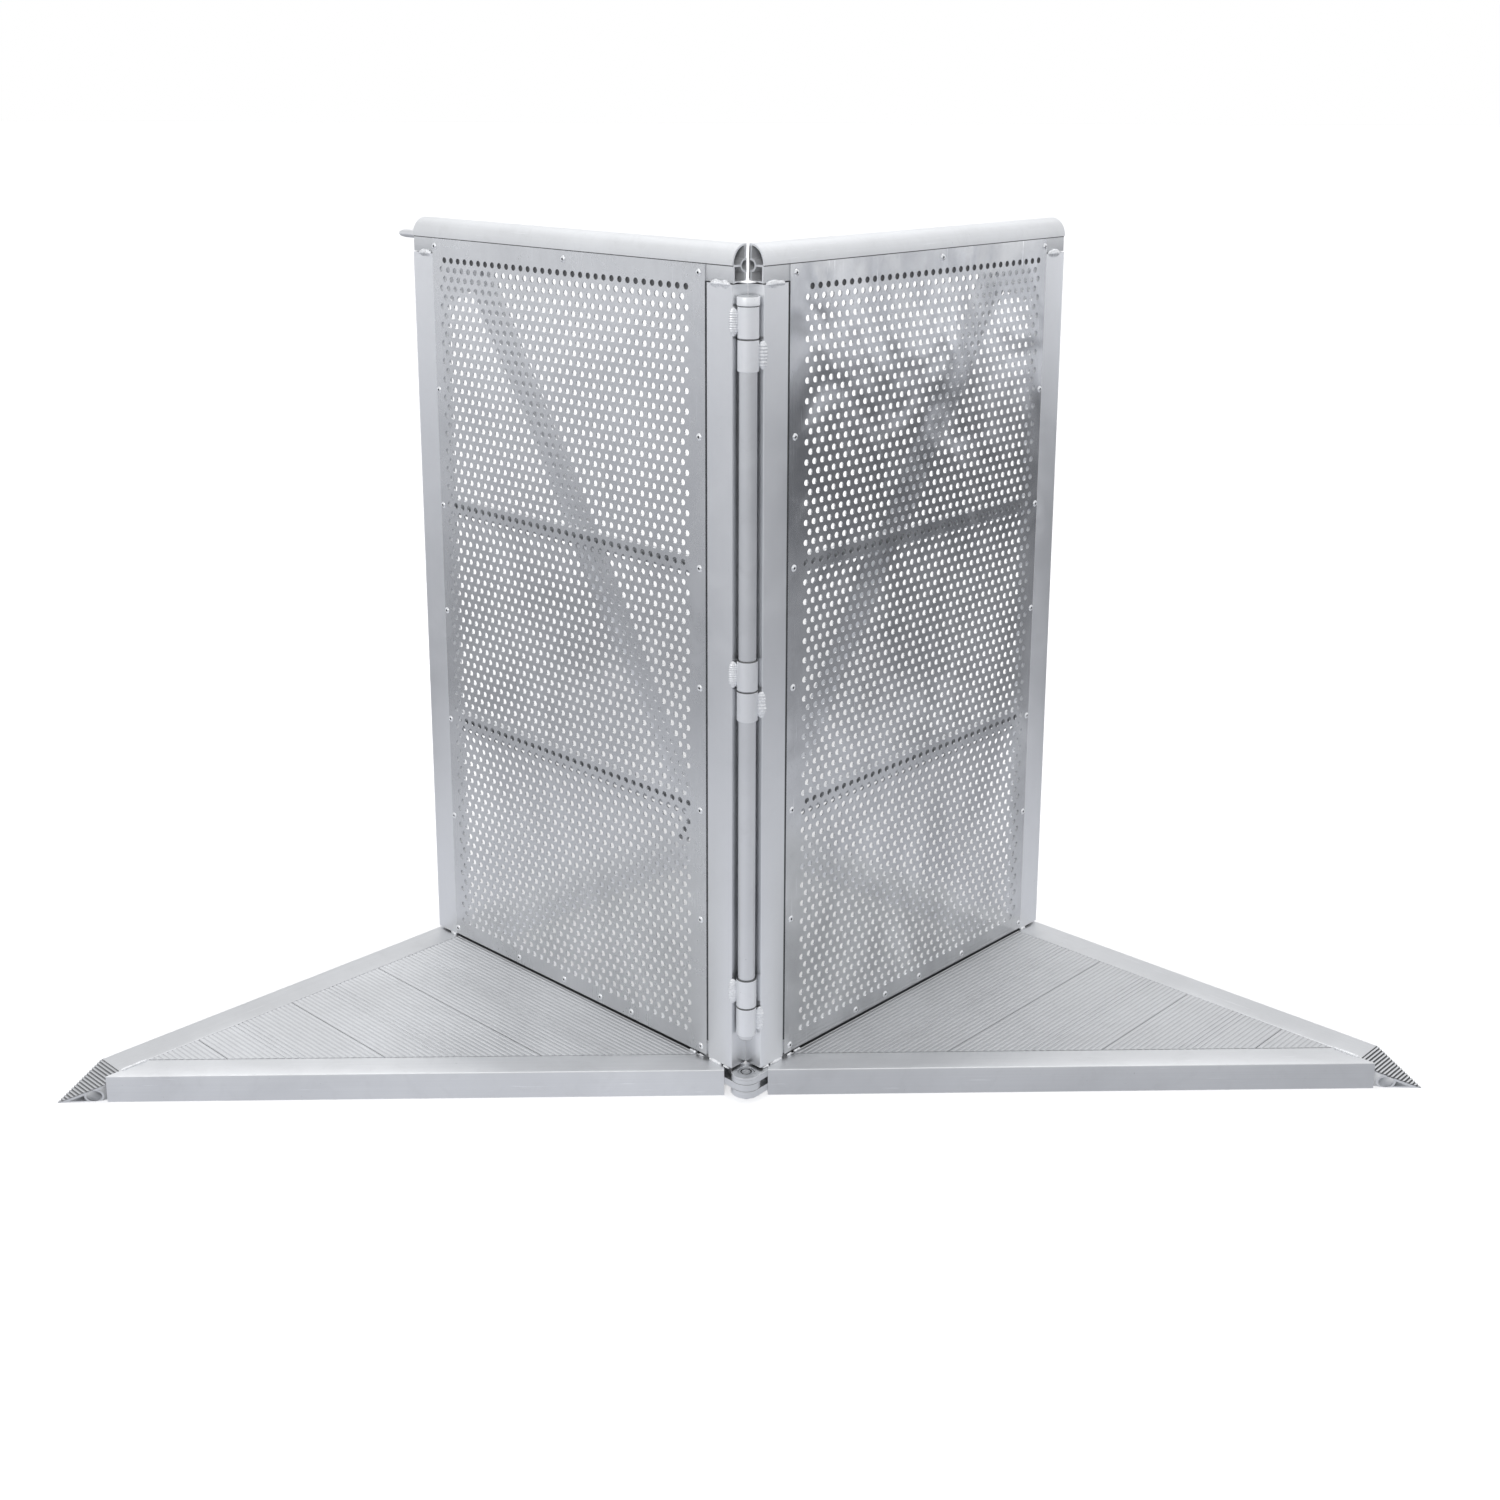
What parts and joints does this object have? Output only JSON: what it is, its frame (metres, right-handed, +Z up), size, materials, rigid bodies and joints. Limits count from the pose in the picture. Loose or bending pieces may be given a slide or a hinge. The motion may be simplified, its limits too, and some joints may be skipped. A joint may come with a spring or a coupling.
{
  "type": "crowd control barrier corner unit",
  "caption": "Hinged aluminium stage barrier corner: perforated panels with domed handrails on triangular ribbed floor plates, braced behind and joined by a lift-out rod.",
  "frame": {"origin": "on the floor, on the axis of the hinge rod and floor pivot", "axes": "+Z up along the hinge rod, +X along the front line towards the right leaf's tip, +Y from the front line towards the rear braces; at rest each panel runs back at 45 degrees from the front line"},
  "size_m": [1.9404, 0.9512, 1.2],
  "materials": {
    "extrusion": "mill finish, satin, handling scuffs",
    "sheet": "rolled mill sheet, semi-bright with smudges and scratches",
    "tread": "ribbed mill extrusion, satin",
    "weld": "bright rippled weld bead",
    "rivet": "semi-bright domed head",
    "hinge_metal": "smooth turned, satin",
    "fastener_steel": "zinc plated"
  },
  "bodies": {
    "left_leaf": {"left_bottom_rail": "extrusion", "left_brace": "extrusion", "left_brace_bolts": "fastener_steel", "left_brace_foot_bracket": "extrusion", "left_brace_nuts": "fastener_steel", "left_brace_top_bracket": "extrusion", "left_coupling_pin": "hinge_metal", "left_floor_lugs": "hinge_metal", "left_frame_welds": "weld", "left_front_tube": "extrusion", "left_head_rail": "extrusion", "left_hinge_knuckles": "hinge_metal", "left_hinge_stile": "extrusion", "left_knuckle_welds": "weld", "left_lower_cross_rail": "extrusion", "left_outer_stile": "extrusion", "left_panel_tube": "extrusion", "left_perforated_sheet": "sheet", "left_plate_welds": "weld", "left_ramp_nose": "tread", "left_sheet_rivets": "rivet", "left_side_tube": "extrusion", "left_top_rail": "extrusion", "left_tread_plank_1": "tread", "left_tread_plank_2": "tread", "left_tread_plank_3": "tread", "left_tread_plank_4": "tread", "left_upper_cross_rail": "extrusion", "pivot_bolt": "fastener_steel"},
    "right_leaf": {"right_bottom_rail": "extrusion", "right_brace": "extrusion", "right_brace_bolts": "fastener_steel", "right_brace_foot_bracket": "extrusion", "right_brace_nuts": "fastener_steel", "right_brace_top_bracket": "extrusion", "right_floor_lugs": "hinge_metal", "right_frame_welds": "weld", "right_front_tube": "extrusion", "right_head_rail": "extrusion", "right_hinge_knuckles": "hinge_metal", "right_hinge_stile": "extrusion", "right_knuckle_welds": "weld", "right_lower_cross_rail": "extrusion", "right_outer_stile": "extrusion", "right_panel_tube": "extrusion", "right_perforated_sheet": "sheet", "right_plate_welds": "weld", "right_ramp_nose": "tread", "right_sheet_rivets": "rivet", "right_side_tube": "extrusion", "right_top_rail": "extrusion", "right_tread_plank_1": "tread", "right_tread_plank_2": "tread", "right_tread_plank_3": "tread", "right_tread_plank_4": "tread", "right_upper_cross_rail": "extrusion"},
    "hinge_rod_body": {"hinge_rod": "hinge_metal", "rod_collar": "hinge_metal"}
  },
  "joints": [
    {"name": "leaf_hinge", "type": "hinge", "parent": "left_leaf", "child": "right_leaf", "pos_m": [0, 0, 0], "axis": [0, 0, -1], "range_deg": [0, 180]},
    {"name": "rod_lift", "type": "slide", "parent": "left_leaf", "child": "hinge_rod_body", "axis": [0, 0, 1], "range_m": [0, 1.04]}
  ]
}
